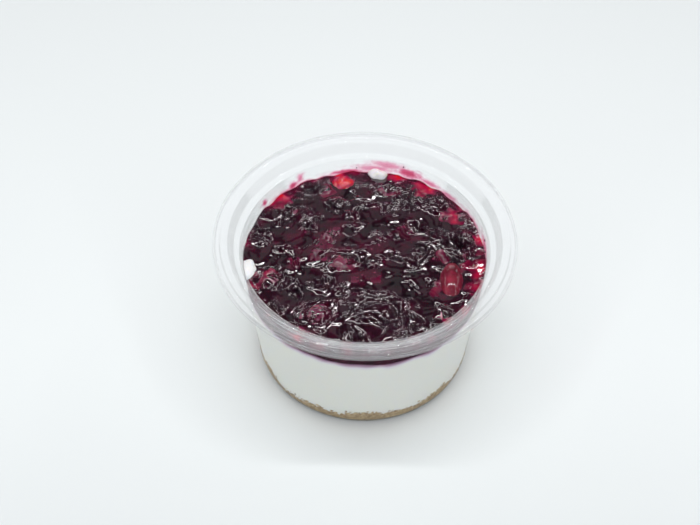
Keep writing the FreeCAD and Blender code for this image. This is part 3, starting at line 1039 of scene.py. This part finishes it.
def build_crumbs():
    """Crumbs pressed against the wall along and above the edge of the base."""
    rng = np.random.RandomState(71)
    edge = crust_edge()
    places, sizes = [], []
    for _ in range(CRUMBS):
        bearing = rng.uniform(0, 2 * np.pi)
        above = abs(rng.normal(0, 0.9)) - 0.5
        size = rng.uniform(0.28, 0.80) * (1.0 if above < 1.0 else 0.6)
        z = float(around_wall(edge, bearing)) + above
        places.append(polar(wall_radius(z) - 0.10 * size, bearing, z))
        sizes.append(size)
    tan, brown = (0.60, 0.48, 0.31), (0.24, 0.155, 0.085)
    grains = scatter("crumb_grains", places, sizes, 72, crumb_material("crumb_grain", tan, brown))
    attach(grains, "root")


build_crumbs()


# ---- smears
# Juice on the inner wall: bearing, height, half widths in degrees and mm, strength.
JUICE = [
    (79.0, 47.0, 16.0, 3.1, 0.80), (86.0, 45.2, 20.0, 2.6, 0.80), (68.0, 45.6, 12.0, 3.2, 1.00),
    (100.0, 44.0, 16.0, 1.9, 1.00), (56.0, 44.9, 11.0, 2.0, 0.85), (44.0, 44.4, 12.0, 1.9, 0.80),
    (125.0, 46.6, 3.4, 3.0, 0.85), (129.5, 44.9, 5.0, 2.6, 1.00), (137.0, 43.9, 13.0, 1.8, 0.90),
    (149.5, 46.6, 3.6, 1.9, 1.00), (24.0, 44.6, 16.0, 2.0, 0.75), (4.0, 45.6, 16.0, 3.1, 0.85),
    (352.0, 46.0, 13.0, 2.8, 0.80), (336.0, 45.0, 12.0, 2.2, 0.60), (181.0, 44.3, 14.0, 1.2, 0.40),
]
# Cream wiped up the inner wall, in the same terms.
WIPES = [
    (166.0, 46.5, 9.0, 1.5, 0.55), (24.0, 47.3, 8.0, 1.2, 0.45), (186.0, 45.9, 9.0, 1.5, 0.75),
    (84.0, 44.0, 6.0, 1.1, 0.80), (352.0, 48.0, 14.0, 0.7, 0.30), (112.0, 45.0, 8.0, 0.8, 0.35),
]


def smear_strength(table, degrees, z, seed):
    """How thick a smear lies at each point of the inner wall."""
    rough = 1 + 0.35 * noise(degrees / 3.2, z / 1.3, seed)
    rough += 0.2 * noise(degrees / 1.1, z / 0.6, seed + 1)
    total = np.zeros_like(degrees)
    for bearing, height, wide, tall, amount in table:
        gap = np.abs((degrees - bearing + 180) % 360 - 180) / wide
        away = np.hypot(gap, (z - height) / tall) * rough
        total = np.maximum(total, amount * (1 - smoothstep(0.10, 1.15, away)))
    return total


def juice_fringe(degrees, z):
    """Juice that creeps up the far wall from the compote's edge."""
    wall = polar(wall_radius(COMPOTE_LEVEL) - HALF_SKIN, np.radians(degrees), z)
    edge = compote_surface(wall[..., 0], wall[..., 1])
    tall = 1.3 + 0.9 * noise(degrees / 4.0, degrees * 0, 303)
    far = smoothstep(18, 34, degrees) * (1 - smoothstep(146, 160, degrees))
    return 0.95 * far * (1 - smoothstep(0.0, 1.0, (z - edge) / tall))


# Share of the film that is seen as its own body, not as a tint.
FILM_BODY = 0.22


def film_material():
    """A thin film on the wall, which tints the light that comes through it."""
    mat, tree, shader = material("smear", Roughness=0.3, Specular_IOR_Level=0.3)
    ramp(tree, painted(tree, "tint"), [
        (0.0, (0.90, 0.90, 0.88)),
        (0.20, (0.95, 0.45, 0.62)),
        (0.50, (0.85, 0.10, 0.26)),
        (0.8, (0.50, 0.004, 0.040))], shader)
    glow = ramp(tree, painted(tree, "tint"), [
        (0.0, (0.97, 0.97, 0.96)),
        (0.20, (0.98, 0.66, 0.80)),
        (0.50, (0.92, 0.20, 0.42)),
        (0.8, (0.60, 0.006, 0.060))])
    through = add(tree, "BsdfTransparent")
    tree.links.new(glow, through.inputs["Color"])
    clear = add(tree, "BsdfTransparent")
    film = blend(tree, through, shader, FILM_BODY)
    show(tree, blend(tree, clear, film, painted(tree, "film")))
    return mat


# Vertices of the films' grid round the wall and up it, and its lowest height.
SMEAR_COLUMNS, SMEAR_ROWS = 960, 36
SMEAR_FOOT = 41.5
# Gap between the wall and a film, and how thick a film gets.
FILM_GAP = 0.06
FILM_DEPTH = 0.10


def build_smears():
    """Films of juice and cream on the cup's inner face, as one mesh."""
    degrees = np.arange(SMEAR_COLUMNS) * 360.0 / SMEAR_COLUMNS
    degrees, z = np.meshgrid(degrees, np.linspace(SMEAR_FOOT, SEAT_LEVEL + 0.2, SMEAR_ROWS))
    juice = np.maximum(smear_strength(JUICE, degrees, z, 301), juice_fringe(degrees, z))
    film = np.maximum(juice, smear_strength(WIPES, degrees, z, 311))
    tint = np.clip(juice / np.maximum(film, 1e-6), 0, 1) * np.clip(0.15 + 0.55 * juice ** 1.5, 0, 1)
    radius = wall_radius(z) - HALF_SKIN - FILM_GAP - FILM_DEPTH * film
    verts = polar(radius, np.radians(degrees), z).reshape(-1, 3)
    wanted = film.ravel() > 0.01
    grid = grid_faces(SMEAR_ROWS, SMEAR_COLUMNS, True, flip=True)
    faces = [quad for quad in grid if any(wanted[k] for k in quad)]
    used = sorted({k for quad in faces for k in quad})
    number = {k: i for i, k in enumerate(used)}
    faces = [tuple(number[k] for k in quad) for quad in faces]
    smears = new_object("wall_smears", verts[used], faces, film_material())
    paint(smears, "film", np.clip(film.ravel()[used] ** 1.2 * 1.05, 0, 0.97))
    paint(smears, "tint", tint.ravel()[used])
    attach(smears, "root")


build_smears()


# Seeds on the wall: bearing, height and size.
SEEDS = [(6.0, 47.6, 0.45), (1.0, 45.8, 0.4), (346.0, 47.2, 0.5), (71.0, 47.9, 0.35),
         (95.0, 45.5, 0.35)]


def build_seeds():
    """A few dark seeds stuck to the wall in the smears."""
    places = [polar(wall_radius(z) - HALF_SKIN - 0.3, math.radians(bearing), z)
              for bearing, z, _ in SEEDS]
    mat, _, _ = material("seed", Base_Color=(0.03, 0.008, 0.012, 1), Roughness=0.3)
    seeds = scatter("wall_seeds", places, [size for _, _, size in SEEDS], 73, mat)
    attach(seeds, "root")


build_seeds()


# ---- studio
# Where the floor fades out, and where in front the painted shade on it is darkest, in metres from
# the cup's middle, and half its width in mm.
FLOOR_FADE = (0.20, 0.52)
FLOOR_SHADE_FROM = -0.14
FLOOR_HALF = 800.0


def build_floor():
    """A pale floor with painted shade that darkens it in front of the cup, which fades into the
    white background far out.
    """
    mat, tree, shader = material("floor", Roughness=0.9, Specular_IOR_Level=0.1)
    place = add(tree, "TexCoord")
    out = add(tree, "VectorMath", operation="LENGTH")
    tree.links.new(place.outputs["Object"], out.inputs[0])
    # Painted shade: the floor's colour darkens towards the front, for the cup's soft shadow there.
    back = ease(tree, along_axis(tree, "Y"), FLOOR_SHADE_FROM, 0.0)
    ramp(tree, back, [(0.0, (0.735, 0.765, 0.775)), (1.0, (0.855, 0.886, 0.893))], shader)
    clear = add(tree, "BsdfTransparent")
    fade = ease(tree, out.outputs["Value"], *FLOOR_FADE)
    show(tree, blend(tree, shader, clear, fade))
    verts = FLOOR_HALF * np.array([(-1, -1, 0), (1, -1, 0), (1, 1, 0), (-1, 1, 0)])
    floor = new_object("floor", verts, [(0, 1, 2, 3)], mat)


def area_light(name, shape, size, watts):
    """A light of a shape, and a size in metres."""
    data = bpy.data.lights.new(name, "AREA")
    data.shape = shape
    data.size = size
    data.energy = watts
    return in_scene(name, data)


# How bright the surroundings are as light, in reflections and as background.
SKY_LIGHT = 0.30
SKY_REFLECTED = 0.035
SKY_SEEN = 0.92


def build_world():
    """Even light from all round, and a white background where it is seen."""
    world = bpy.data.worlds.new("world")
    bpy.context.scene.world = world
    world.use_nodes = True
    tree = world.node_tree
    sky = tree.nodes["Background"]
    sky.inputs["Color"].default_value = (0.955, 0.985, 1.0, 1)
    path = add(tree, "LightPath").outputs
    seen = compute(tree, "MAXIMUM", path["Is Camera Ray"], path["Is Transmission Ray"])
    direct = compute(tree, "LESS_THAN", path["Glossy Depth"], 0.5)
    plain = compute(tree, "MULTIPLY", seen, direct)
    lit = SKY_LIGHT
    for test, level in ((path["Is Glossy Ray"], SKY_REFLECTED), (plain, SKY_SEEN)):
        choose = add(tree, "Mix", data_type="FLOAT")
        tree.links.new(test, choose.inputs["Factor"])
        feed(tree, lit, choose.inputs["A"])
        choose.inputs["B"].default_value = level
        lit = choose.outputs["Result"]
    tree.links.new(lit, sky.inputs["Strength"])


# Flat lights: middle, one end, width and watts; places in metres. Strips frame
# the opening that the cup is looked at through, and a soft panel stands behind.
LIGHTS = {
    "strip_top": ((0, 0.12, 0.60), (0.36, 0.12, 0.60), 0.02, 1.60),
    "strip_low": ((0, -0.62, 0.16), (0.36, -0.62, 0.16), 0.02, 0.12),
    "strip_left": ((-0.38, -0.25, 0.38), (-0.38, -0.62, 0.16), 0.02, 0.78),
    "strip_right": ((0.38, -0.25, 0.38), (0.38, -0.62, 0.16), 0.02, 0.78),
    "strip_back": ((0, 0.80, 0.30), (0.40, 0.80, 0.30), 0.02, 0.42),
    "strip_back_left": ((-0.55, 0.35, 0.40), (-0.50, 0.60, 0.34), 0.02, 0.28),
    "strip_back_right": ((0.55, 0.35, 0.40), (0.50, 0.60, 0.34), 0.02, 0.28),
    "panel_back": ((0, 0.60, 0.62), (0.19, 0.60, 0.62), 0.27, 0.056),
}
# The row of small lamps, with its y and z, and the point that all the lights
# face, in metres.
LAMPS = 8
LAMP_STEP = 0.08
LAMP_ROW = (-0.30, 0.55)
LAMP_SIZE = 0.010
LAMP_WATTS = 0.085
LIT_POINT = Vector((0, 0, 0.04))


def build_lights():
    """The flat lights, and a row of small lamps in front."""
    for name, (middle, end, width, watts) in LIGHTS.items():
        middle, end = Vector(middle), Vector(end)
        light = area_light(name, "RECTANGLE", 2 * (end - middle).length, watts)
        light.data.size_y = width
        along = (end - middle).normalized()
        back = middle - LIT_POINT
        back = (back - along * back.dot(along)).normalized()
        turn = Matrix((along, back.cross(along), back)).transposed().to_4x4()
        light.matrix_world = Matrix.Translation(middle) @ turn
        light.visible_camera = False
    for k in range(LAMPS):
        light = area_light("lamp_%02d" % k, "DISK", LAMP_SIZE, LAMP_WATTS)
        light.location = ((k - (LAMPS - 1) / 2) * LAMP_STEP, *LAMP_ROW)
        light.rotation_euler = (LIT_POINT - light.location).to_track_quat("-Z", "Y").to_euler()


# The camera, in metres: where it stands, where it looks, and its lens in mm.
CAMERA_PLACE = Vector((0.0, -0.25336, 0.32855))
CAMERA_AIM = Vector((-0.00486, 0.01333, 0.025))
CAMERA_ROLL = math.radians(0.42)
LENS = 61.7
SENSOR = 36.0


def build_camera():
    """The camera, above the cup and in front of it."""
    data = bpy.data.cameras.new("camera")
    data.sensor_width = SENSOR
    data.lens = LENS
    data.clip_start = 0.01
    camera = in_scene("camera", data)
    turn = (CAMERA_AIM - CAMERA_PLACE).to_track_quat("-Z", "Y").to_matrix().to_4x4()
    roll = Matrix.Rotation(CAMERA_ROLL, 4, "Z")
    camera.matrix_world = Matrix.Translation(CAMERA_PLACE) @ turn @ roll
    bpy.context.scene.camera = camera


build_floor()
build_world()
build_lights()
build_camera()
bpy.context.scene.view_settings.view_transform = "Standard"
